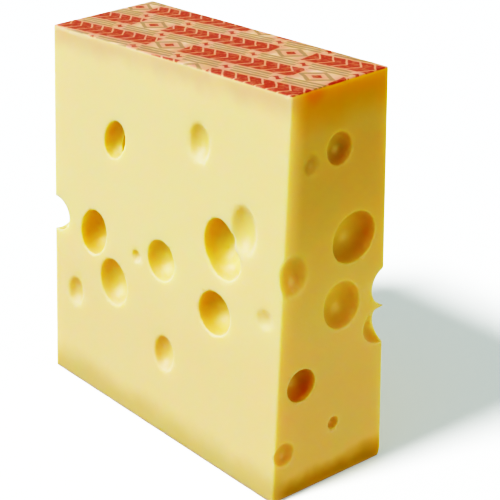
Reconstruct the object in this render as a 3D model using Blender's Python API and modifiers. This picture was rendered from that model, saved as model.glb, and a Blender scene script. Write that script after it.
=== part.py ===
"""A hand-cut block of Swiss-type hard cheese, full of round eyes.

Metres, +Z up.  The wheel's height runs along Z, with a rind above and below, the block's
length runs along X and its thickness along Y.  The origin is the centre of the base.

The block is a cube whose six faces are knife cuts, each a few degrees off square.  Every
eye is the cap of a bubble that the cut opened: a sphere through the eye's rim, as deep as
the eye is, stretched where the eye is oval.
"""

import math
import random
from collections import namedtuple

import bmesh
import bpy
from mathutils import Matrix, Vector

MM = 0.001

# ---- the block ---------------------------------------------------------------
HEIGHT = 0.2099         # rind to rind, at the middle of the block
BASE_Z = 0.0
MID_Z = 0.105           # the side cuts' offsets are measured at this height
EDGE_RADIUS = 0.0008    # how far the knife's edges are worn round
EDGE_SEGMENTS = 2
CELLS = (8, 3, 9)       # each face is a grid of cells, so that no one face holds many rims

X, Y, Z = range(3)

# A cut is the plane where the coordinate on `axis` is `offset`, plus the slopes (degrees)
# along the other two axes, in X, Y, Z order.  `side` says which way it faces.
Cut = namedtuple("Cut", "axis side offset slopes")
CUTS = {
    "left": Cut(X, -1, -0.0937, (1.40, 1.20)),
    "right": Cut(X, +1, +0.0955, (1.68, -0.17)),
    "front": Cut(Y, -1, -0.0328, (1.41, 2.59)),
    "back": Cut(Y, +1, +0.0364, (-0.40, -1.54)),
    "base": Cut(Z, -1, BASE_Z, (0.0, 0.0)),
    "rind": Cut(Z, +1, HEIGHT, (1.00, 3.11)),
}

# The foot's back right corner is knocked off, this far along X, along Y and up.
CHIP = (0.0030, 0.0016, 0.0050)

# ---- the eyes ----------------------------------------------------------------
# Sizes in mm.  `along` and `up` place the eye's middle on its cut: along X on the front and
# back, along Y on the left and right.  `half_a` and `half_b` are the rim's half-axes, the
# first turned `turn` degrees up from the face's horizontal.  `depth` is in mean half-axes:
# 1 is half a sphere, less is a shallow dish, more goes in under its rim.
Eye = namedtuple("Eye", "along up half_a half_b turn depth")

FRONT_EYES = (
    Eye(-37.4, 156.0, 11.1, 8.5, 60, 0.95),
    Eye(31.5, 172.3, 9.7, 7.9, 94, 0.50),
    Eye(-57.2, 97.9, 13.7, 11.3, 60, 1.12),
    Eye(-38.9, 74.2, 13.4, 12.2, 107, 0.70),
    Eye(-75.4, 55.8, 8.9, 7.2, 76, 0.48),
    Eye(-18.4, 96.4, 3.6, 3.5, 0, 0.68),
    Eye(2.7, 100.9, 11.4, 11.2, 15, 0.77),
    Eye(48.7, 124.5, 13.8, 11.6, 96, 1.03),     # this one and the next ran together
    Eye(52.9, 118.0, 10.3, 11.8, 99, 0.81),
    Eye(66.1, 137.7, 12.5, 9.2, 97, 0.43),
    Eye(46.2, 87.1, 12.3, 11.6, 20, 1.05),
    Eye(6.1, 48.6, 10.3, 8.2, 83, 0.57),
    Eye(83.2, 97.2, 5.2, 5.6, 101, 0.38),
)
RIGHT_EYES = (
    Eye(3.8, 179.4, 8.3, 7.6, 87, 0.70),
    Eye(-13.3, 175.2, 4.9, 4.4, 84, 0.42),
    Eye(14.8, 131.9, 14.0, 12.9, 27, 0.80),
    Eye(8.2, 97.5, 13.0, 11.8, 99, 0.65),
    Eye(-23.3, 122.0, 10.7, 8.9, 92, 0.46),
    Eye(-17.2, 61.5, 8.9, 8.7, 140, 1.20),
    Eye(4.5, 32.5, 3.6, 3.4, 81, 0.90),
    Eye(-27.7, 26.0, 6.6, 6.4, 81, 0.62),
)

# Bubbles that lay on an upright edge and now bite it: centre and half-axes, mm.
Bubble = namedtuple("Bubble", "centre half_axes")
EDGE_BITES = (
    Bubble((-93.1, -32.6, 98.6), (12.5, 9.9, 10.2)),    # front left edge
    Bubble((99.6, 47.4, 106.1), (13.3, 13.3, 13.3)),    # back right edge, upper
    Bubble((93.5, 39.0, 99.8), (11.1, 11.1, 11.1)),
    Bubble((102.1, 34.7, 78.6), (12.9, 13.1, 11.3)),    # back right edge, lower
)
# A bubble that no cut opened, only the first front eye, whose wall it breaks.
INNER_BUBBLES = (
    Bubble((-36.3, -21.8, 151.6), (5.2, 4.6, 7.0)),
)

# The two cuts that stand away from the viewer get eyes of the same sizes by rule: each is
# drawn at random until it keeps clear of the face's edges and of every other bubble.
SCATTER_SEED = 41
SCATTER_RADII = {
    "back": (14.0, 13.0, 12.0, 11.5, 10.5, 9.5, 8.5, 7.5, 6.0, 5.0, 4.0),
    "left": (12.5, 10.5, 9.0, 7.5, 5.0, 3.8),
}
SCATTER_DEPTHS = (0.45, 0.95)
SCATTER_OVAL = 0.12         # how much longer than wide an eye may be
SCATTER_GAP = 4.0           # mm of cheese between one bubble and the next
SCATTER_EDGE = 3.0          # mm of cheese between a rim and the face's edge
SCATTER_TRIES = 4000

# Sides round the rim and rings from pole to pole, for eyes up to the given half-axis (mm).
EYE_FACETS = ((5.0, 12, 8), (9.0, 18, 10), (99.0, 24, 12))

CHEESE_RGB = (0.80, 0.66, 0.30)
CHEESE_ROUGHNESS = 0.45


def clear_scene():
    """Empty the scene without closing the file."""
    for obj in list(bpy.data.objects):
        bpy.data.objects.remove(obj, do_unlink=True)


def new_collection(name, hidden=False):
    collection = bpy.data.collections.new(name)
    bpy.context.scene.collection.children.link(collection)
    collection.hide_render = hidden
    return collection


def add_mesh(name, bm, collection):
    """Put a bmesh into a new object of the collection."""
    mesh = bpy.data.meshes.new(name)
    bm.to_mesh(mesh)
    bm.free()
    obj = bpy.data.objects.new(name, mesh)
    collection.objects.link(obj)
    return obj


# ---- planes ------------------------------------------------------------------
def other_axes(axis):
    return [k for k in (X, Y, Z) if k != axis]


def cut_plane(cut):
    """The cut's plane as (n, d), where n . p = d, with n not of unit length."""
    n = Vector((0.0, 0.0, 0.0))
    n[cut.axis] = 1.0
    d = cut.offset
    for k, slope in zip(other_axes(cut.axis), cut.slopes):
        rise = math.tan(math.radians(slope))
        n[k] = -rise
        if k == Z:
            d -= rise * MID_Z
    return n, d


def outward(cut):
    return cut_plane(cut)[0].normalized() * cut.side


def on_cut(cut, along, up):
    """The point of a side cut at a place along it and a height."""
    n, d = cut_plane(cut)
    point = Vector((along, along, up))
    point[cut.axis] = 0.0
    point[cut.axis] = d - n.dot(point)
    return point


def corner(names):
    """The point where three cuts meet."""
    planes = [cut_plane(CUTS[name]) for name in names]
    rows = Matrix([n for n, _ in planes])
    return rows.inverted() @ Vector([d for _, d in planes])


# ---- the block ---------------------------------------------------------------
def divide_faces(bm):
    """Split the block's edges, and with them its faces, into a grid of cells."""
    for axis, cells in enumerate(CELLS):
        along = [edge for edge in bm.edges
                 if runs_along(edge.verts[1].co - edge.verts[0].co, axis)]
        bmesh.ops.subdivide_edges(bm, edges=along, cuts=cells - 1, use_grid_fill=True)


def runs_along(step, axis):
    return abs(step[axis]) == max(abs(size) for size in step)


def chip_corner(bm):
    """Knock the back right corner off the foot."""
    tip = corner(("right", "back", "base"))
    a, b, c = (tip + Vector(step) for step in (
        (-CHIP[X], 0.0, 0.0), (0.0, -CHIP[Y], 0.0), (0.0, 0.0, CHIP[Z])))
    normal = (b - a).cross(c - a).normalized()
    if normal.dot(tip - a) < 0.0:
        normal = -normal
    geometry = bm.verts[:] + bm.edges[:] + bm.faces[:]
    cut = bmesh.ops.bisect_plane(bm, geom=geometry, plane_co=a, plane_no=normal,
                                 clear_outer=True)
    rim = [item for item in cut["geom_cut"] if isinstance(item, bmesh.types.BMEdge)]
    bmesh.ops.contextual_create(bm, geom=rim)


def make_block(name, collection):
    """The cheese before its eyes: a cube with its corners on the six cuts."""
    bm = bmesh.new()
    bmesh.ops.create_cube(bm, size=2.0)
    for vert in bm.verts:
        vert.co = corner(("left" if vert.co.x < 0 else "right",
                          "front" if vert.co.y < 0 else "back",
                          "base" if vert.co.z < 0 else "rind"))
    divide_faces(bm)
    chip_corner(bm)
    bmesh.ops.recalc_face_normals(bm, faces=bm.faces)
    block = add_mesh(name, bm, collection)
    bevel = block.modifiers.new("worn edges", "BEVEL")
    bevel.width = EDGE_RADIUS
    bevel.segments = EDGE_SEGMENTS
    bevel.limit_method = "ANGLE"
    bevel.angle_limit = math.radians(20)
    return block


# ---- the eyes ----------------------------------------------------------------
def bubble_radius(depth):
    """Radius of a sphere through a unit rim, `depth` below it at its lowest."""
    return (1.0 + depth * depth) / (2.0 * depth)


def facets(half_axis):
    """Sides and rings for a bubble whose larger half-axis is this many mm."""
    return next((sides, rings) for limit, sides, rings in EYE_FACETS if half_axis <= limit)


def bubble_mesh(name, matrix, half_axis, collection):
    """A unit sphere, stretched and placed by the matrix, as a cutter."""
    sides, rings = facets(half_axis)
    bm = bmesh.new()
    bmesh.ops.create_uvsphere(bm, u_segments=sides, v_segments=rings, radius=1.0)
    bmesh.ops.transform(bm, matrix=matrix, verts=bm.verts)
    bmesh.ops.recalc_face_normals(bm, faces=bm.faces)
    cutter = add_mesh(name, bm, collection)
    cutter.display_type = "WIRE"
    cutter.hide_render = True
    return cutter


def eye_matrix(cut, eye):
    """Places a unit sphere as the bubble of one eye, its pole square to the cut."""
    n = outward(cut)
    across = Vector((0.0, 0.0, 1.0)).cross(n).normalized()
    if across[X] + across[Y] < 0.0:
        across = -across
    upward = Vector((0.0, 0.0, 1.0))
    upward = (upward - n * upward.dot(n)).normalized()
    turn = math.radians(eye.turn)
    a = across * math.cos(turn) + upward * math.sin(turn)
    b = upward * math.cos(turn) - across * math.sin(turn)
    mean = math.sqrt(eye.half_a * eye.half_b)
    radius = bubble_radius(eye.depth)
    rim = on_cut(cut, eye.along * MM, eye.up * MM)
    centre = rim - n * (eye.depth - radius) * mean * MM
    axes = (a * eye.half_a, b * eye.half_b, n * mean)
    matrix = Matrix([axis * radius * MM for axis in axes]).transposed().to_4x4()
    matrix.translation = centre
    return matrix


def bubble_matrix(bubble):
    scale = Matrix.Diagonal(Vector(bubble.half_axes) * MM).to_4x4()
    return Matrix.Translation(Vector(bubble.centre) * MM) @ scale


def bounding_ball(matrix):
    """Centre and radius of a ball round the bubble that a matrix places."""
    return matrix.translation.copy(), max(matrix.col[k].xyz.length for k in range(3))


def face_limits(cut, up):
    """How far a side cut reaches along itself at one height: low and high, m."""
    sides = ("front", "back") if cut.axis == X else ("left", "right")
    reach = []
    for side in sides:
        n, d = cut_plane(CUTS[side])
        m, e = cut_plane(cut)
        rows = Matrix((n.xy, m.xy))
        rest = Vector((d - n.z * up, e - m.z * up))
        reach.append((rows.inverted() @ rest)[1 - cut.axis])
    return reach


def scattered_eye(cut, radius, rng):
    """A random eye of about this half-axis, clear of the face's edges."""
    margin = radius * (1.0 + SCATTER_OVAL) + SCATTER_EDGE
    up = rng.uniform(margin, HEIGHT / MM - 2.0 * SCATTER_EDGE - margin)
    low, high = (limit / MM for limit in face_limits(cut, up * MM))
    along = rng.uniform(low + margin, high - margin)
    longer = 1.0 + rng.uniform(0.0, SCATTER_OVAL)
    return Eye(along, up, radius * longer, radius, rng.uniform(0.0, 180.0),
               rng.uniform(*SCATTER_DEPTHS))


def scatter(taken):
    """Eyes for the left and back cuts, each bubble clear of all those before it."""
    rng = random.Random(SCATTER_SEED)
    placed = []
    for side, radii in SCATTER_RADII.items():
        for radius in radii:
            for _ in range(SCATTER_TRIES):
                matrix = eye_matrix(CUTS[side], scattered_eye(CUTS[side], radius, rng))
                centre, reach = bounding_ball(matrix)
                if all((centre - other).length > reach + size + SCATTER_GAP * MM
                       for other, size in taken):
                    taken.append((centre, reach))
                    placed.append((matrix, radius))
                    break
    return placed


def make_eyes(collection):
    """Every bubble that opens on the block, as cutters."""
    bubbles = [(eye_matrix(CUTS["front"], eye), eye.half_a) for eye in FRONT_EYES]
    bubbles += [(eye_matrix(CUTS["right"], eye), eye.half_a) for eye in RIGHT_EYES]
    bubbles += [(bubble_matrix(bubble), max(bubble.half_axes))
                for bubble in EDGE_BITES + INNER_BUBBLES]
    bubbles += scatter([bounding_ball(matrix) for matrix, _ in bubbles])
    for number, (matrix, half_axis) in enumerate(bubbles):
        bubble_mesh(f"eye_{number:02d}", matrix, half_axis, collection)


def cut_eyes(block, eyes):
    cut = block.modifiers.new("eyes", "BOOLEAN")
    cut.operation = "DIFFERENCE"
    cut.solver = "EXACT"
    cut.operand_type = "COLLECTION"
    cut.collection = eyes
    weld = block.modifiers.new("close seams", "WELD")
    weld.merge_threshold = 0.00002


def cheese_material(name):
    material = bpy.data.materials.new(name)
    material.use_nodes = True
    shader = material.node_tree.nodes["Principled BSDF"]
    shader.inputs["Base Color"].default_value = (*CHEESE_RGB, 1.0)
    shader.inputs["Roughness"].default_value = CHEESE_ROUGHNESS
    shader.inputs["Metallic"].default_value = 0.0
    return material


def main():
    clear_scene()
    parts = new_collection("emmental_block")
    eyes = new_collection("cutters", hidden=True)
    block = make_block("cheese_block", parts)
    make_eyes(eyes)
    cut_eyes(block, eyes)
    block.data.materials.append(cheese_material("cheese"))
    block.data.shade_smooth()
    block.data.set_sharp_from_angle(angle=math.radians(30))


main()
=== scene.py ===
"""The looks of a hand-cut block of Swiss-type hard cheese, in the frame of its solid.

The solid's eyes are facets; here the same block is rebuilt as one smooth skin.  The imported
solid is remeshed finely, and every point is then moved onto an exact surface: the six cuts
that bound the solid and the bubbles that they opened, met by small rounded edges.
"""

import math
import random
from collections import namedtuple

import bpy
import numpy as np
from mathutils import Matrix, Vector


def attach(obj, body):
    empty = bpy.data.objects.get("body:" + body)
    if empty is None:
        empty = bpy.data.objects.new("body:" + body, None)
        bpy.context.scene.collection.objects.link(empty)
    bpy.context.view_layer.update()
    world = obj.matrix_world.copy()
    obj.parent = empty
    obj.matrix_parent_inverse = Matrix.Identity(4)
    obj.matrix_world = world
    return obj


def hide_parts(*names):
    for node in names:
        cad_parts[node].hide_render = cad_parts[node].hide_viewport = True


MM = 0.001
X, Y, Z = range(3)

# ---- the block, as in the solid --------------------------------------------------------
HEIGHT = 0.2099
MID_Z = 0.105

# A cut's place at mid height, m, and its slopes along the other two axes, degrees.  The last
# two are the wheel's own rinds.
Cut = namedtuple("Cut", "axis side offset slopes")
CUTS = {
    "left": Cut(X, -1, -0.0937, (1.40, 1.20)),
    "right": Cut(X, +1, +0.0955, (1.68, -0.17)),
    "front": Cut(Y, -1, -0.0328, (1.41, 2.59)),
    "back": Cut(Y, +1, +0.0364, (-0.40, -1.54)),
    "base": Cut(Z, -1, 0.0, (0.0, 0.0)),
    "rind": Cut(Z, +1, HEIGHT, (1.00, 3.11)),
}
CHIP = (0.0030, 0.0016, 0.0050)     # knocked off the foot corner at the back right

# Its middle along the cut and up it, and its half-axes, mm; the first one's turn from level,
# degrees; and its depth as a share of its mean half-axis
Eye = namedtuple("Eye", "along up half_a half_b turn depth")
FRONT_EYES = (
    Eye(-37.4, 156.0, 11.1, 8.5, 60, 0.95),
    Eye(31.5, 172.3, 9.7, 7.9, 94, 0.50),
    Eye(-57.2, 97.9, 13.7, 11.3, 60, 1.12),
    Eye(-38.9, 74.2, 13.4, 12.2, 107, 0.70),
    Eye(-75.4, 55.8, 8.9, 7.2, 76, 0.48),
    Eye(-18.4, 96.4, 3.6, 3.5, 0, 0.68),
    Eye(2.7, 100.9, 11.4, 11.2, 15, 0.77),
    Eye(48.7, 124.5, 13.8, 11.6, 96, 1.03),     # this one and the next ran together
    Eye(52.9, 118.0, 10.3, 11.8, 99, 0.81),
    Eye(66.1, 137.7, 12.5, 9.2, 97, 0.43),
    Eye(46.2, 87.1, 12.3, 11.6, 20, 1.05),
    Eye(6.1, 48.6, 10.3, 8.2, 83, 0.57),
    Eye(83.2, 97.2, 5.2, 5.6, 101, 0.38),
)
RIGHT_EYES = (
    Eye(3.8, 179.4, 8.3, 7.6, 87, 0.70),
    Eye(-13.3, 175.2, 4.9, 4.4, 84, 0.42),
    Eye(14.8, 131.9, 14.0, 12.9, 27, 0.80),
    Eye(8.2, 97.5, 13.0, 11.8, 99, 0.65),
    Eye(-23.3, 122.0, 10.7, 8.9, 92, 0.46),
    Eye(-17.2, 61.5, 8.9, 8.7, 140, 1.20),
    Eye(4.5, 32.5, 3.6, 3.4, 81, 0.90),
    Eye(-27.7, 26.0, 6.6, 6.4, 81, 0.62),
)
Bubble = namedtuple("Bubble", "centre half_axes")       # mm
EDGE_BITES = (
    Bubble((-93.1, -32.6, 98.6), (12.5, 9.9, 10.2)),
    Bubble((99.6, 47.4, 106.1), (13.3, 13.3, 13.3)),
    Bubble((93.5, 39.0, 99.8), (11.1, 11.1, 11.1)),
    Bubble((102.1, 34.7, 78.6), (12.9, 13.1, 11.3)),
)
INNER_BUBBLES = (
    Bubble((-36.3, -21.8, 151.6), (5.2, 4.6, 7.0)),
)

# Eyes on the cuts that face away from the photograph, mm
SCATTER_SEED = 41
SCATTER_RADII = {
    "back": (14.0, 13.0, 12.0, 11.5, 10.5, 9.5, 8.5, 7.5, 6.0, 5.0, 4.0),
    "left": (12.5, 10.5, 9.0, 7.5, 5.0, 3.8),
}
SCATTER_DEPTHS = (0.45, 0.95)
SCATTER_OVAL = 0.12     # an eye is at most this much longer than wide
SCATTER_GAP = 4.0       # paste left between two bubbles
SCATTER_EDGE = 3.0      # and between an eye and its cut's edges
SCATTER_TRIES = 4000

# ---- the skin ---------------------------------------------------------------------------
VOXEL = 0.0006          # remesh step
ADAPTIVITY = 0.02       # larger faces where the skin is flat
EDGE_ROUND = 0.0008     # radius along the block's edges
RIM_SHARP = 0.0004      # radius round the rims of the deep eyes
RIM_WORN = 0.0012       # and of the shallowest
CRISP_DEPTH = 0.80      # from this depth on an eye's rim is sharp
WORN_SPAN = 0.35        # and this much shallower it is worn
BITE_RIM = 0.0004       # and of the bites and the inner bubble
PROBE = 0.00004         # step of the numeric gradient
PASSES = 5              # times that each point is moved onto the surface
LONGEST_MOVE = 0.0006
LEAST_SLOPE = 0.25      # taken for the squared gradient where it is less, as in creases
TINY = 1e-9             # keeps a divisor off zero
FOLDED = 0.3            # a triangle is folded if its normal's cosine to the skin's is less
UNFOLDINGS = 6          # rounds of evening them out, at most


def other_axes(axis):
    return [k for k in (X, Y, Z) if k != axis]


def cut_plane(cut):
    """The cut's plane as (n, d), where n . p = d, with n not of unit length."""
    n = Vector((0.0, 0.0, 0.0))
    n[cut.axis] = 1.0
    d = cut.offset
    for k, slope in zip(other_axes(cut.axis), cut.slopes):
        rise = math.tan(math.radians(slope))
        n[k] = -rise
        if k == Z:
            d -= rise * MID_Z
    return n, d


def unit_plane(cut):
    """The cut's plane with n of unit length and out of the cheese."""
    n, d = cut_plane(cut)
    scale = cut.side / n.length
    return n * scale, d * scale


def on_cut(cut, along, up):
    """The point of a side cut at a place along it and a height."""
    n, d = cut_plane(cut)
    point = Vector((along, along, up))
    point[cut.axis] = 0.0       # the plane gives this one
    point[cut.axis] = d - n.dot(point)
    return point


def corner(names):
    """The point where three cuts meet."""
    planes = [cut_plane(CUTS[name]) for name in names]
    rows = Matrix([n for n, _ in planes])
    return rows.inverted() @ Vector([d for _, d in planes])


# ---- the eyes, as in the solid ------------------------------------------------------------
def bubble_radius(depth):
    """Radius of a sphere through a unit rim, `depth` below it at its lowest."""
    return (1.0 + depth * depth) / (2.0 * depth)


def eye_matrix(cut, eye):
    """Places a unit sphere as the bubble of one eye, its pole square to the cut."""
    n, _ = unit_plane(cut)
    across = Vector((0.0, 0.0, 1.0)).cross(n).normalized()
    if across[X] + across[Y] < 0.0:
        across = -across
    upward = Vector((0.0, 0.0, 1.0))
    upward = (upward - n * upward.dot(n)).normalized()
    turn = math.radians(eye.turn)
    a = across * math.cos(turn) + upward * math.sin(turn)
    b = upward * math.cos(turn) - across * math.sin(turn)
    mean = math.sqrt(eye.half_a * eye.half_b)
    radius = bubble_radius(eye.depth)
    rim = on_cut(cut, eye.along * MM, eye.up * MM)
    centre = rim - n * (eye.depth - radius) * mean * MM
    axes = (a * eye.half_a, b * eye.half_b, n * mean)
    matrix = Matrix([axis * radius * MM for axis in axes]).transposed().to_4x4()
    matrix.translation = centre
    return matrix


def bubble_matrix(bubble):
    scale = Matrix.Diagonal(Vector(bubble.half_axes) * MM).to_4x4()
    return Matrix.Translation(Vector(bubble.centre) * MM) @ scale


def bounding_ball(matrix):
    """Centre and radius of a ball round the bubble that a matrix places."""
    return matrix.translation.copy(), max(matrix.col[k].xyz.length for k in range(3))


def face_limits(cut, up):
    """How far a side cut reaches along itself at one height: low and high, m."""
    sides = ("front", "back") if cut.axis == X else ("left", "right")
    reach = []
    for side in sides:
        n, d = cut_plane(CUTS[side])
        m, e = cut_plane(cut)
        rows = Matrix((n.xy, m.xy))
        rest = Vector((d - n.z * up, e - m.z * up))
        reach.append((rows.inverted() @ rest)[1 - cut.axis])
    return reach


def scattered_eye(cut, radius, rng):
    """A random eye of about this half-axis, clear of the face's edges."""
    margin = radius * (1.0 + SCATTER_OVAL) + SCATTER_EDGE
    up = rng.uniform(margin, HEIGHT / MM - 2.0 * SCATTER_EDGE - margin)
    low, high = (limit / MM for limit in face_limits(cut, up * MM))
    along = rng.uniform(low + margin, high - margin)
    longer = 1.0 + rng.uniform(0.0, SCATTER_OVAL)
    return Eye(along, up, radius * longer, radius, rng.uniform(0.0, 180.0),
               rng.uniform(*SCATTER_DEPTHS))


def scatter(taken):
    """Eyes for the left and back cuts, each bubble clear of all those before it."""
    rng = random.Random(SCATTER_SEED)
    placed = []
    for side, radii in SCATTER_RADII.items():
        for radius in radii:
            for _ in range(SCATTER_TRIES):
                matrix = eye_matrix(CUTS[side], scattered_eye(CUTS[side], radius, rng))
                centre, reach = bounding_ball(matrix)
                if all((centre - other).length > reach + size + SCATTER_GAP * MM
                       for other, size in taken):
                    taken.append((centre, reach))
                    placed.append(matrix)
                    break
    return placed


def rim_radius(eye):
    """Deep eyes keep a crisp rim; the shallower the eye, the more its rim fades out."""
    fade = min(max((CRISP_DEPTH - eye.depth) / WORN_SPAN, 0.0), 1.0)
    return RIM_SHARP + (RIM_WORN - RIM_SHARP) * fade


def all_bubbles():
    """Every bubble's matrix, and the radius round its rim."""
    bubbles = [eye_matrix(CUTS["front"], eye) for eye in FRONT_EYES]
    bubbles += [eye_matrix(CUTS["right"], eye) for eye in RIGHT_EYES]
    rims = [rim_radius(eye) for eye in FRONT_EYES + RIGHT_EYES]
    bubbles += [bubble_matrix(bubble) for bubble in EDGE_BITES + INNER_BUBBLES]
    rims += [BITE_RIM] * len(EDGE_BITES + INNER_BUBBLES)
    hidden = scatter([bounding_ball(matrix) for matrix in bubbles])
    return bubbles + hidden, rims + [RIM_SHARP] * len(hidden)


# ---- the exact surface ------------------------------------------------------------------
def outer_planes():
    """Unit outward normals and offsets of the six cuts and of the knocked corner."""
    normals, offsets = [], []
    for cut in CUTS.values():
        n, d = unit_plane(cut)
        normals.append(n)
        offsets.append(d)
    tip = corner(("right", "back", "base"))
    a, b, c = (tip + Vector(step) for step in (
        (-CHIP[X], 0.0, 0.0), (0.0, -CHIP[Y], 0.0), (0.0, 0.0, CHIP[Z])))
    n = (b - a).cross(c - a).normalized()
    n = -n if n.dot(tip - a) < 0.0 else n
    return np.array(normals + [n]), np.array(offsets + [n.dot(a)])


def rounded(parts, radius):
    """Where several insides meet, as one distance with its edges rounded."""
    push = np.maximum(parts + radius, 0.0)
    return np.minimum(parts.max(axis=0), -radius) + np.sqrt((push * push).sum(axis=0))


class Surface:
    """Signed distance to the cheese's skin, negative inside."""

    def __init__(self, bubbles, rims):
        self.rims = rims
        self.normals, self.offsets = outer_planes()
        self.centres = np.array([m.translation[:] for m in bubbles])
        self.sizes = np.array([[m.col[k].xyz.length for k in range(3)] for m in bubbles])
        self.axes = np.array([[m.col[k].xyz.normalized()[:] for k in range(3)]
                              for m in bubbles])

    def bubble(self, k, points):
        """Distance outside one bubble, negative within it."""
        q = (points - self.centres[k]) @ self.axes[k].T
        scaled = np.linalg.norm(q / self.sizes[k], axis=1)
        steep = np.linalg.norm(q / self.sizes[k] ** 2, axis=1) + TINY
        return scaled * (scaled - 1.0) / steep

    def __call__(self, points):
        sides = (points @ self.normals.T - self.offsets).T
        skin = rounded(sides, EDGE_ROUND)
        for k, rim in enumerate(self.rims):
            skin = rounded(np.array((skin, -self.bubble(k, points))), rim)
        return skin

    def gradient(self, points):
        slope = np.empty_like(points)
        for k in range(3):
            step = np.zeros(3)
            step[k] = PROBE
            slope[:, k] = (self(points + step) - self(points - step)) / (2.0 * PROBE)
        return slope


def settle(points, surface):
    """Move each point onto the surface."""
    for _ in range(PASSES):
        value = surface(points)
        slope = surface.gradient(points)
        size = np.maximum((slope * slope).sum(axis=1), LEAST_SLOPE)
        move = (value / size)[:, None] * slope
        length = np.linalg.norm(move, axis=1, keepdims=True)
        move *= np.minimum(1.0, LONGEST_MOVE / np.maximum(length, TINY))
        points = points - move
    return points


def pulled_in(points, edges, chosen):
    """The chosen points, each moved to the middle of its neighbours."""
    total = np.zeros_like(points)
    count = np.zeros(len(points))
    for here, there in (edges.T, edges.T[::-1]):
        np.add.at(total, here, points[there])
        np.add.at(count, here, 1.0)
    return total[chosen] / count[chosen, None]


def unfold(points, triangles, edges, surface):
    """Even out the few places where the moved triangles have folded over."""
    watched = triangles
    for _ in range(UNFOLDINGS):
        a, b, c = (points[watched[:, k]] for k in range(3))
        normal = np.cross(b - a, c - a)
        slope = surface.gradient((a + b + c) / 3.0)
        size = np.linalg.norm(normal, axis=1) * np.linalg.norm(slope, axis=1)
        folded = (normal * slope).sum(axis=1) < FOLDED * size
        chosen = np.zeros(len(points), dtype=bool)
        chosen[watched[folded]] = True
        chosen[edges[chosen[edges].any(axis=1)]] = True
        if not chosen.any():
            break
        points[chosen] = settle(pulled_in(points, edges, chosen), surface)
        watched = triangles[chosen[triangles].any(axis=1)]
    return points


def remeshed(node):
    """A fine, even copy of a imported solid's mesh."""
    copy = bpy.data.objects.new("fine", node.data.copy())
    bpy.context.scene.collection.objects.link(copy)
    remesh = copy.modifiers.new("remesh", "REMESH")
    remesh.mode = "VOXEL"
    remesh.voxel_size = VOXEL
    remesh.adaptivity = ADAPTIVITY
    graph = bpy.context.evaluated_depsgraph_get()
    mesh = bpy.data.meshes.new_from_object(copy.evaluated_get(graph))
    bpy.data.objects.remove(copy)
    return mesh


def triples(mesh):
    """The corners of the mesh's triangles."""
    mesh.calc_loop_triangles()
    corners = np.empty(3 * len(mesh.loop_triangles), dtype=int)
    mesh.loop_triangles.foreach_get("vertices", corners)
    return corners.reshape(-1, 3)


def pairs(mesh):
    """The ends of the mesh's edges."""
    ends = np.empty(2 * len(mesh.edges), dtype=int)
    mesh.edges.foreach_get("vertices", ends)
    return ends.reshape(-1, 2)


def make_cheese(node):
    """The block's smooth skin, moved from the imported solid's mesh onto the exact surface."""
    mesh = remeshed(node)
    mesh.name = "cheese"
    count = len(mesh.vertices)
    points = np.empty(count * 3)
    mesh.vertices.foreach_get("co", points)
    surface = Surface(*all_bubbles())
    points = settle(points.reshape(count, 3), surface)
    points = unfold(points, triples(mesh), pairs(mesh), surface)
    mesh.vertices.foreach_set("co", points.ravel())
    mesh.update()
    mesh.shade_smooth()
    cheese = bpy.data.objects.new("cheese", mesh)
    bpy.context.scene.collection.objects.link(cheese)
    return cheese


# ---- node trees -------------------------------------------------------------------------
MIX_FACTOR, MIX_A, MIX_B, MIX_COLOUR = 0, 6, 7, 2       # the colour sockets of a Mix node


class Tree:
    """Short calls for building a material's nodes."""

    def __init__(self, name):
        self.material = bpy.data.materials.new(name)
        self.material.use_nodes = True
        self.nodes = self.material.node_tree.nodes
        self.links = self.material.node_tree.links
        self.nodes.clear()

    def put(self, socket, value):
        """Link a socket to another one, or set it to a plain value."""
        if isinstance(value, bpy.types.NodeSocket):
            self.links.new(value, socket)
        else:
            socket.default_value = value

    def add(self, kind, inputs=(), **settings):
        node = self.nodes.new("ShaderNode" + kind)
        for key, value in settings.items():
            setattr(node, key, value)
        for key, value in dict(inputs).items():
            self.put(node.inputs[key], value)
        return node

    def math(self, operation, *values):
        return self.add("Math", enumerate(values), operation=operation).outputs[0]

    def ramp(self, value, low, high, to_low=0.0, to_high=1.0):
        """Smooth step of a value between two limits."""
        inputs = {0: value, 1: low, 2: high, 3: to_low, 4: to_high}
        node = self.add("MapRange", inputs, interpolation_type="SMOOTHSTEP")
        return node.outputs[0]

    def mix(self, factor, a, b, blend="MIX"):
        node = self.add("Mix", data_type="RGBA", blend_type=blend)
        self.put(node.inputs[MIX_FACTOR], factor)
        self.put(node.inputs[MIX_A], a)
        self.put(node.inputs[MIX_B], b)
        return node.outputs[MIX_COLOUR]

    def tinted(self, colour, factor, tint):
        """A colour, multiplied by a tint where the factor is 1."""
        return self.mix(1.0, colour, self.mix(factor, WHITE, tint), "MULTIPLY")

    def noise(self, place, scale, detail=2.0, roughness=0.5):
        inputs = {"Vector": place, "Scale": scale, "Detail": detail,
                  "Roughness": roughness}
        return self.add("TexNoise", inputs).outputs[0]


def rgb(r, g, b):
    return (r, g, b, 1.0)


WHITE = rgb(1.0, 1.0, 1.0)

# ---- the paste --------------------------------------------------------------------------
PASTE_LOW = rgb(0.868, 0.649, 0.299)
PASTE_HIGH = rgb(0.886, 0.692, 0.313)
PASTE_TURN = (0.055, 0.115)         # between these heights the one gives way to the other
MOTTLE_A = rgb(1.000, 0.985, 0.985)
MOTTLE_B = rgb(0.965, 1.000, 0.985)
MOTTLE_SCALE = 55.0
MOTTLE_STEP = (0.38, 0.62)

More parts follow.
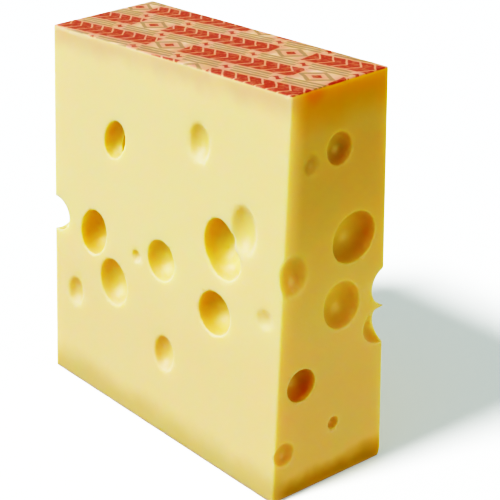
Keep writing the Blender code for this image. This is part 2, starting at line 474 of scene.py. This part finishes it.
# The paste dries and darkens under its rinds: fully as far as `near`, and no more from `far`.
# On the right cut, which is in shade, the bands are stronger and one more darkens its upper
# part: there they are painted shade on top of the paste's own darkening.
Band = namedtuple("Band", "rind tint near far on_right")
BANDS = (
    Band("base", rgb(0.79, 0.79, 0.74), 0.004, 0.022, False),
    # the right cut's foot: the paste's own darkening and painted shade near the floor
    Band("base", rgb(0.65, 0.60, 0.18), 0.0015, 0.0135, True),
    Band("rind", rgb(0.85, 0.77, 0.88), 0.001, 0.015, False),
    # the right cut's top: the paste's own darkening and painted shade
    Band("rind", rgb(0.98, 0.84, 0.22), 0.006, 0.025, True),
    # painted shade: the right cut's upper part, darker as a whole
    Band("rind", rgb(0.84, 0.80, 0.68), 0.030, 0.145, True),
)
BAND_WANDER = 0.012
BAND_WANDER_SCALE = 45.0
RIGHT_DEPTH = (0.004, 0.016)        # the right cut's bands fade out this far under it
RIGHT_START = (0.0005, 0.0110)      # and fade in this far behind the front cut

BLED_AT = (0.0950, -0.0120, 0.2095)     # red ink ran over the top edge here
BLED_INK = rgb(1.0, 0.84, 0.85)
BLED_REACH = (0.0020, 0.0085)
EYE_BOUNCE_TINT = rgb(0.98, 0.98, 0.80)    # an eye's walls are shinier, and yellower by painted bounce light
EYE_BOUNCE_DEPTH = (0.0008, 0.0060)

# ---- the rind and its print -------------------------------------------------------------
RIND = rgb(0.93, 0.62, 0.360)
RIND_TAN = rgb(0.78, 0.49, 0.270)
RIND_SCALE = 90.0
RIND_DETAIL = 3.0
RIND_STEP = (0.35, 0.65)
RIND_DEPTH = (0.0002, 0.0009)       # its colour fades out this far under its surface
FOOT_RIND = rgb(0.56, 0.40, 0.30)
FOOT_RIND_DEPTH = (0.0002, 0.0020)

PRINT_TURN = -8.0       # the rows' angle on the rind, degrees
ROW_PITCH = 0.0220
ROW_SHIFT = 0.0340      # how far each row starts behind the one before
RUN = 0.0950            # length of one run of chevrons and its lozenge
BAND_HALF = 0.0060      # half the height of a run
CHEVRON = 0.0082        # length of one chevron along its row
CHEVRON_BAR = 0.42      # half the inked share of it
CHEVRON_SLANT = 0.9
LOZENGE = (0.0092, 0.0062)      # half its length and height
LOZENGE_LEAN = 0.8              # turns a distance up into one square to its sides
LOZENGE_GAP = 0.0108            # the chevrons keep this far from its middle
LOZENGE_RING = 0.0009           # half the width of its outline
LOZENGE_CORE = 0.0030           # its red middle starts this far inside
BARS = 0.0317                   # one block of thin bars and its dot
BARS_HALF = (0.0118, 0.0036)    # half the block's length and height
BAR_PITCH = 0.0026
BAR_HALF = 0.0009
DOT = 0.0024                    # half a dot's diagonal

INK_RED = rgb(0.53, 0.165, 0.100)
INK_HALO = rgb(0.80, 0.40, 0.245)
INK_OLIVE = rgb(0.38, 0.29, 0.140)
INK_BLUR = 0.0003
HALO = 0.0070           # how far the red ink has spread
HALO_STRENGTH = 0.85
OLIVE_STRENGTH = 0.72
WOBBLE = 0.0012         # unevenness of the printed outlines
WOBBLE_SCALE = 160.0
WEAR_SCALE = 420.0
WEAR_STEP = (0.30, 0.55)
WORN_RED = 0.65         # strength of the red ink where it is worn

# ---- relief and shine -------------------------------------------------------------------
GRAIN_SCALE = 700.0
GRAIN_DETAIL = 3.0
GRAIN_ROUGHNESS = 0.6
GRAIN_SHARE = 0.6
KNIFE_SCALES = (60.0, 60.0, 900.0)      # a knife's marks run level
KNIFE_SHARE = 0.4
RELIEF = 0.0003
RELIEF_STRENGTH = 0.25
PASTE_ROUGHNESS = 0.55
RIND_ROUGHNESS = 0.60
EYE_GLOSS = 0.17                        # how much smoother an eye's walls are
EYE_GLOSS_DEPTH = (0.0006, 0.0025)
SPECULAR = 0.42
SCATTERED = (1.0, 0.70, 0.30)           # how far red, green and blue light spread
PASTE_SCATTER = 0.012
RIND_SCATTER = 0.0005


def below(t, place, name):
    """How far a point lies under one cut, as a socket."""
    n, d = unit_plane(CUTS[name])
    dot = t.add("VectorMath", {0: place, 1: n}, operation="DOT_PRODUCT").outputs["Value"]
    return t.math("SUBTRACT", d, dot)


def saw(t, value, period):
    """Distance from the middle of the nearest period, and which period it is."""
    turns = t.math("DIVIDE", value, period)
    index = t.math("FLOOR", turns)
    middle = t.math("SUBTRACT", t.math("SUBTRACT", turns, index), 0.5)
    return t.math("MULTIPLY", middle, period), index


def inked(t, distance):
    """1 where a distance is below zero, 0 where it is above, over a soft edge."""
    return t.ramp(distance, -INK_BLUR, INK_BLUR, 1.0, 0.0)


def largest(t, *values):
    result = values[0]
    for value in values[1:]:
        result = t.math("MAXIMUM", result, value)
    return result


def smallest(t, *values):
    result = values[0]
    for value in values[1:]:
        result = t.math("MINIMUM", result, value)
    return result


def paste_colour(t, place, gaps):
    """Colour of the cut cheese, darker towards its two rinds, with painted shade and bounce
    light.
    """
    colour = t.mix(t.ramp(gaps["base"], *PASTE_TURN), PASTE_LOW, PASTE_HIGH)
    cloud = t.ramp(t.noise(place, MOTTLE_SCALE), *MOTTLE_STEP)
    colour = t.mix(1.0, colour, t.mix(cloud, MOTTLE_A, MOTTLE_B), "MULTIPLY")
    colour = banded(t, place, gaps, colour)
    from_ink = t.add("VectorMath", {0: place, 1: BLED_AT}, operation="DISTANCE").outputs[1]
    colour = t.tinted(colour, t.ramp(from_ink, *BLED_REACH, 1.0, 0.0), BLED_INK)
    # painted bounce light: the eyes' walls turn yellower below the cuts
    in_eye = t.ramp(smallest(t, *gaps.values()), *EYE_BOUNCE_DEPTH)
    return t.tinted(colour, in_eye, EYE_BOUNCE_TINT)


def banded(t, place, gaps, colour):
    """The paste with its darker bands, stronger on the right cut, where they are partly
    painted shade.
    """
    noise = t.math("SUBTRACT", t.noise(place, BAND_WANDER_SCALE), 0.5)
    wander = t.math("MULTIPLY", noise, BAND_WANDER)
    depths = {rind: t.math("ADD", gaps[rind], wander) for rind in ("base", "rind")}
    # painted shade: the mask of the shaded right cut
    on_right = t.ramp(gaps["right"], *RIGHT_DEPTH, 1.0, 0.0)
    on_right = t.math("MULTIPLY", on_right, t.ramp(gaps["front"], *RIGHT_START))
    elsewhere = t.math("SUBTRACT", 1.0, on_right)
    for band in BANDS:
        near = t.ramp(depths[band.rind], band.near, band.far, 1.0, 0.0)
        mask = on_right if band.on_right else elsewhere
        colour = t.tinted(colour, t.math("MULTIPLY", near, mask), band.tint)
    return colour


def chevrons(t, along, height, reach):
    """Distance to the rows of slanted bars that point along the rind."""
    slanted = t.math("ADD", along, t.math("MULTIPLY", height, CHEVRON_SLANT))
    tooth, _ = saw(t, slanted, CHEVRON)
    return largest(
        t, t.math("SUBTRACT", t.math("ABSOLUTE", tooth), CHEVRON_BAR * CHEVRON),
        t.math("SUBTRACT", height, BAND_HALF), t.math("SUBTRACT", LOZENGE_GAP, reach))


def lozenge(t, reach, height):
    """Distance inside or outside a lozenge round the middle of its run."""
    tall = t.math("DIVIDE", height, LOZENGE[1])
    wide = t.math("DIVIDE", reach, LOZENGE[0])
    sloped = t.math("SUBTRACT", t.math("ADD", tall, wide), 1.0)
    return t.math("MULTIPLY", sloped, LOZENGE_LEAN * LOZENGE[1])


def bars_and_dots(t, along, height):
    """Distances to the thin bars between two rows and to the dots between their blocks."""
    edge = t.math("ABSOLUTE", t.math("SUBTRACT", height, 0.5 * ROW_PITCH))
    in_block, _ = saw(t, along, BARS)
    from_middle = t.math("ABSOLUTE", in_block)
    bar, _ = saw(t, t.math("ADD", edge, 0.5 * BAR_PITCH), BAR_PITCH)
    bars = largest(
        t, t.math("SUBTRACT", t.math("ABSOLUTE", bar), BAR_HALF),
        t.math("SUBTRACT", edge, BARS_HALF[1]), t.math("SUBTRACT", from_middle, BARS_HALF[0]))
    from_end = t.math("SUBTRACT", 0.5 * BARS, from_middle)
    dots = t.math("SUBTRACT", t.math("ADD", edge, from_end), DOT)
    return bars, dots


def rind_print(t, place):
    """Distances to the red and to the olive marks of a plain printed rind."""
    turned = t.add("VectorRotate", {"Vector": place, "Angle": math.radians(PRINT_TURN)},
                   rotation_type="Z_AXIS").outputs[0]
    axes = t.add("SeparateXYZ", {0: turned})
    across, row = saw(t, axes.outputs[Y], ROW_PITCH)
    along = t.math("ADD", axes.outputs[X], t.math("MULTIPLY", row, ROW_SHIFT))
    in_run, _ = saw(t, along, RUN)
    height = t.math("ABSOLUTE", across)
    reach = t.math("ABSOLUTE", in_run)

    rim = lozenge(t, reach, height)
    ring = t.math("SUBTRACT", t.math("ABSOLUTE", rim), LOZENGE_RING)
    core = t.math("ADD", rim, LOZENGE_CORE)
    bars, dots = bars_and_dots(t, along, height)
    red = smallest(t, chevrons(t, along, height, reach), core, dots)
    return red, smallest(t, ring, bars)


def rind_colour(t, place):
    """The dry rind, with a plain red and olive print."""
    dry = t.ramp(t.noise(place, RIND_SCALE, RIND_DETAIL), *RIND_STEP)
    colour = t.mix(dry, RIND, RIND_TAN)
    inputs = {"Vector": place, "Scale": WOBBLE_SCALE, "Detail": 1.0}
    wobble = t.add("TexNoise", inputs).outputs["Color"]
    shift = t.add("VectorMath", {0: wobble, 1: (0.5, 0.5, 0.5)}, operation="SUBTRACT")
    moved = t.add("VectorMath", {0: shift.outputs[0], 1: (WOBBLE,) * 3, 2: place},
                  operation="MULTIPLY_ADD").outputs[0]
    red, olive = rind_print(t, moved)
    worn = t.ramp(t.noise(place, WEAR_SCALE), *WEAR_STEP, WORN_RED, 1.0)
    colour = t.mix(t.ramp(red, 0.0, HALO, HALO_STRENGTH, 0.0), colour, INK_HALO)
    colour = t.mix(t.math("MULTIPLY", inked(t, olive), OLIVE_STRENGTH), colour, INK_OLIVE)
    return t.mix(t.math("MULTIPLY", inked(t, red), worn), colour, INK_RED)


def relief(t, place):
    """Fine grain and level knife marks, as a bumped normal."""
    grain = t.noise(place, GRAIN_SCALE, GRAIN_DETAIL, GRAIN_ROUGHNESS)
    streak = t.add("VectorMath", {0: place, 1: KNIFE_SCALES}, operation="MULTIPLY")
    knife = t.noise(streak.outputs[0], 1.0)
    height = t.math("ADD", t.math("MULTIPLY", grain, GRAIN_SHARE),
                    t.math("MULTIPLY", knife, KNIFE_SHARE))
    bump = t.add("Bump", {"Height": height, "Strength": RELIEF_STRENGTH, "Distance": RELIEF})
    return bump.outputs[0]


def make_material():
    t = Tree("cheese")
    place = t.add("TexCoord").outputs["Object"]
    gaps = {name: below(t, place, name) for name in CUTS}
    on_top = t.ramp(gaps["rind"], *RIND_DEPTH, 1.0, 0.0)
    under = t.ramp(gaps["base"], *FOOT_RIND_DEPTH, 1.0, 0.0)
    colour = t.mix(on_top, paste_colour(t, place, gaps), rind_colour(t, place))
    colour = t.mix(under, colour, FOOT_RIND)
    rind = t.math("MAXIMUM", on_top, under)

    shader = t.add("BsdfPrincipled", {"Base Color": colour, "Normal": relief(t, place)})
    roughness = t.ramp(rind, 0.0, 1.0, PASTE_ROUGHNESS, RIND_ROUGHNESS)
    gloss = t.ramp(smallest(t, *gaps.values()), *EYE_GLOSS_DEPTH, 0.0, EYE_GLOSS)
    t.put(shader.inputs["Roughness"], t.math("SUBTRACT", roughness, gloss))
    shader.inputs["Specular IOR Level"].default_value = SPECULAR
    shader.inputs["Subsurface Weight"].default_value = 1.0
    shader.inputs["Subsurface Radius"].default_value = SCATTERED
    t.put(shader.inputs["Subsurface Scale"],
          t.ramp(rind, 0.0, 1.0, PASTE_SCATTER, RIND_SCATTER))
    out = t.add("OutputMaterial")
    t.links.new(shader.outputs[0], out.inputs[0])
    return t.material


# ---- camera, floor and light --------------------------------------------------------------
CAMERA_AT = (0.5018, -0.3923, 0.3806)
CAMERA_YAW = 49.92
CAMERA_PITCH = 24.03
CAMERA_ROLL = 0.06
CAMERA_LENS = 93.61
CAMERA_SENSOR = 36.0
CAMERA_NEAR = 0.01

FLOOR_HALF = 6.0
FLOOR_Z = -0.0003       # just under the block's foot
FLOOR_GREY = rgb(0.8, 0.8, 0.8)
FLOOR_GLOW = rgb(0.089, 0.121, 0.114)
FLOOR_ROUGHNESS = 0.9

# Where the light comes from (azimuth 0 is -Y, 90 is +X) and how wide its source is, degrees
Lamp = namedtuple("Lamp", "name azimuth elevation power colour width")
KEY_COLOUR = (0.96, 1.03, 1.35)
FILL_COLOUR = (1.0, 1.0, 1.07)
CHEESE_LAMPS = (
    Lamp("key_high", -11.0, 49.0, 0.72, KEY_COLOUR, 48.0),
    Lamp("key_side", -30.0, 30.0, 1.15, KEY_COLOUR, 48.0),
    Lamp("fill_front", 0.0, 10.0, 0.38, FILL_COLOUR, 90.0),
    Lamp("fill_right", 107.0, 4.0, 0.575, FILL_COLOUR, 34.0),
    Lamp("fill_back", 195.0, 15.0, 0.52, FILL_COLOUR, 60.0),
    Lamp("fill_left", 250.0, 15.0, 0.60, FILL_COLOUR, 50.0),
    Lamp("bounce", 90.0, -45.0, 0.45, FILL_COLOUR, 80.0),
)
FLOOR_LAMPS = (
    Lamp("floor_key", -10.2, 48.3, 3.5, (1.0, 1.0, 1.0), 12.0),
    Lamp("floor_fill", 0.0, 90.0, 0.60, (1.0, 1.0, 1.0), 170.0),
)
DULL_LAMPS = ("fill_front", "fill_back", "fill_left", "bounce")     # leave no highlights
WORLD_POWER = 0.07
TONES = ((0.0, 0.0), (0.05, 0.002), (0.08, 0.012), (0.10, 0.03), (0.13, 0.09), (0.17, 0.19),
         (0.25, 0.42), (0.35, 0.64), (0.50, 0.82), (0.70, 0.93), (1.0, 1.0))
ALL_CHANNELS = 3        # the tone curve that red, green and blue share


def make_camera():
    """A camera at the photograph's angle; with no yaw it would look along +Y."""
    yaw, pitch, roll = map(math.radians, (CAMERA_YAW, CAMERA_PITCH, CAMERA_ROLL))
    back = Vector((math.sin(yaw) * math.cos(pitch), -math.cos(yaw) * math.cos(pitch),
                   math.sin(pitch)))
    level = Vector((math.cos(yaw), math.sin(yaw), 0.0))
    upright = back.cross(level)
    right = level * math.cos(roll) + upright * math.sin(roll)
    up = upright * math.cos(roll) - level * math.sin(roll)
    data = bpy.data.cameras.new("camera")
    data.lens = CAMERA_LENS
    data.sensor_width = CAMERA_SENSOR
    data.clip_start = CAMERA_NEAR
    camera = bpy.data.objects.new("camera", data)
    camera.matrix_world = Matrix((right, up, back)).transposed().to_4x4()
    camera.location = CAMERA_AT
    bpy.context.scene.collection.objects.link(camera)
    bpy.context.scene.camera = camera


def make_floor():
    """A pale floor, which takes the block's shadow and gives no light to the block."""
    mesh = bpy.data.meshes.new("floor")
    corners = [(x * FLOOR_HALF, y * FLOOR_HALF, FLOOR_Z)
               for x, y in ((-1, -1), (1, -1), (1, 1), (-1, 1))]
    mesh.from_pydata(corners, [], [(0, 1, 2, 3)])
    floor = bpy.data.objects.new("floor", mesh)
    bpy.context.scene.collection.objects.link(floor)
    t = Tree("floor")
    shader = t.add("BsdfPrincipled")
    shader.inputs["Base Color"].default_value = FLOOR_GREY
    shader.inputs["Roughness"].default_value = FLOOR_ROUGHNESS
    shader.inputs["Specular IOR Level"].default_value = 0.0
    shader.inputs["Emission Color"].default_value = FLOOR_GLOW
    shader.inputs["Emission Strength"].default_value = 1.0
    out = t.add("OutputMaterial")
    t.links.new(shader.outputs[0], out.inputs[0])
    mesh.materials.append(t.material)
    floor.visible_diffuse = False
    floor.visible_glossy = False
    floor.visible_shadow = False
    return floor


def make_sun(lamp, receiver):
    """A wide sun, which lights only one object."""
    data = bpy.data.lights.new(lamp.name, "SUN")
    data.energy = lamp.power
    data.color = lamp.colour
    data.angle = math.radians(lamp.width)
    light = bpy.data.objects.new(lamp.name, data)
    a, e = math.radians(lamp.azimuth), math.radians(lamp.elevation)
    source = Vector((math.sin(a) * math.cos(e), -math.cos(a) * math.cos(e), math.sin(e)))
    light.rotation_euler = source.to_track_quat("Z", "Y").to_euler()
    bpy.context.scene.collection.objects.link(light)
    group = bpy.data.collections.new(lamp.name)
    group.objects.link(receiver)
    light.light_linking.receiver_collection = group
    light.visible_glossy = lamp.name not in DULL_LAMPS


def set_tones():
    """A contrasty studio tone curve, from scene light to shown light."""
    view = bpy.context.scene.view_settings
    view.view_transform = "Standard"
    view.use_curve_mapping = True
    mapping = view.curve_mapping
    curve = mapping.curves[ALL_CHANNELS]
    for x, y in TONES[1:-1]:
        curve.points.new(x, y)
    mapping.update()


def make_lights(cheese, floor):
    for lamps, receiver in ((CHEESE_LAMPS, cheese), (FLOOR_LAMPS, floor)):
        for lamp in lamps:
            make_sun(lamp, receiver)
    world = bpy.data.worlds.new("world")
    bpy.context.scene.world = world
    world.use_nodes = True
    background = world.node_tree.nodes["Background"]
    background.inputs["Color"].default_value = rgb(*FILL_COLOUR)
    background.inputs["Strength"].default_value = WORLD_POWER
    set_tones()


# ---- the scene --------------------------------------------------------------------------
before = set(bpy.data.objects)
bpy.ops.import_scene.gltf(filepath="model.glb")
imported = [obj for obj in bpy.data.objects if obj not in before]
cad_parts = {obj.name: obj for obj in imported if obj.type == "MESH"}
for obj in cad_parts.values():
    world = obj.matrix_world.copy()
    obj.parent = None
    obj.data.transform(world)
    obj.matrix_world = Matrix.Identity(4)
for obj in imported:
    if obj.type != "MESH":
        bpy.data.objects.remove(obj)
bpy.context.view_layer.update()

make_camera()
floor = make_floor()
cheese = make_cheese(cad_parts["cheese_block"])
cheese.data.materials.clear()
cheese.data.materials.append(make_material())
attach(cheese, "root")
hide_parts("cheese_block")
make_lights(cheese, floor)
